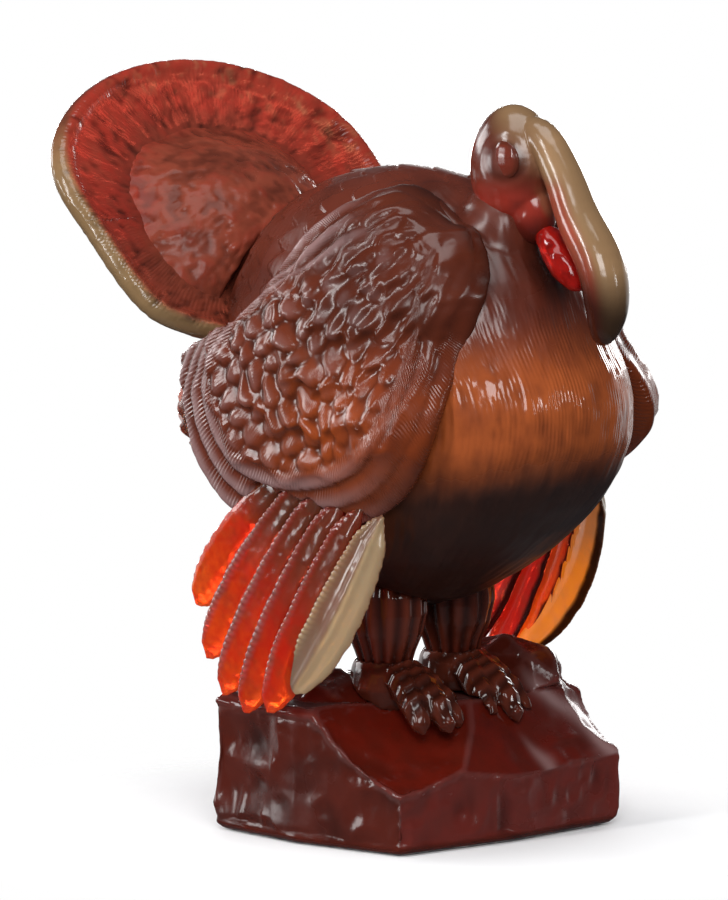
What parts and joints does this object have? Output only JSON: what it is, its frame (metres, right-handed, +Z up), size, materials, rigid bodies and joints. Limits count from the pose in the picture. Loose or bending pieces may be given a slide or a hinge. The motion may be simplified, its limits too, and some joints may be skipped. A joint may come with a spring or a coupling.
{
  "type": "thanksgiving turkey figure",
  "caption": "Amber glass turkey with raised tail fan, drooped wings, hanging snood and wattle, standing on a rough rock plinth; free-standing seasonal table ornament",
  "frame": {"origin": "on the flat underside of the rock, below the bird, where the figure rests", "axes": "+Z up, the bird faces -Y, its left side is +X"},
  "size_m": [0.082, 0.125, 0.14],
  "materials": {
    "body_glass": "gloss",
    "feather_glass": "gloss",
    "snood_glass": "gloss",
    "wattle_glass": "gloss",
    "rock_glass": "gloss",
    "eye_glass": "gloss"
  },
  "bodies": {
    "root": {"rock_base": "rock_glass", "left_foot": "body_glass", "right_foot": "body_glass", "left_leg": "body_glass", "right_leg": "body_glass", "torso": "body_glass", "breast": "body_glass", "left_wing_shield": "body_glass", "right_wing_shield": "body_glass", "left_flight_feather_1": "feather_glass", "left_flight_feather_2": "feather_glass", "left_flight_feather_3": "feather_glass", "left_flight_feather_4": "feather_glass", "left_flight_feather_5": "feather_glass", "left_flight_feather_6": "feather_glass", "right_flight_feather_1": "feather_glass", "right_flight_feather_2": "feather_glass", "right_flight_feather_3": "feather_glass", "right_flight_feather_4": "feather_glass", "right_flight_feather_5": "feather_glass", "right_flight_feather_6": "feather_glass", "tail_fan": "feather_glass", "tail_rosette": "body_glass", "undertail_tuft": "feather_glass", "head": "body_glass", "left_eye": "eye_glass", "right_eye": "eye_glass", "snood": "snood_glass", "wattle": "wattle_glass"}
  },
  "joints": []
}
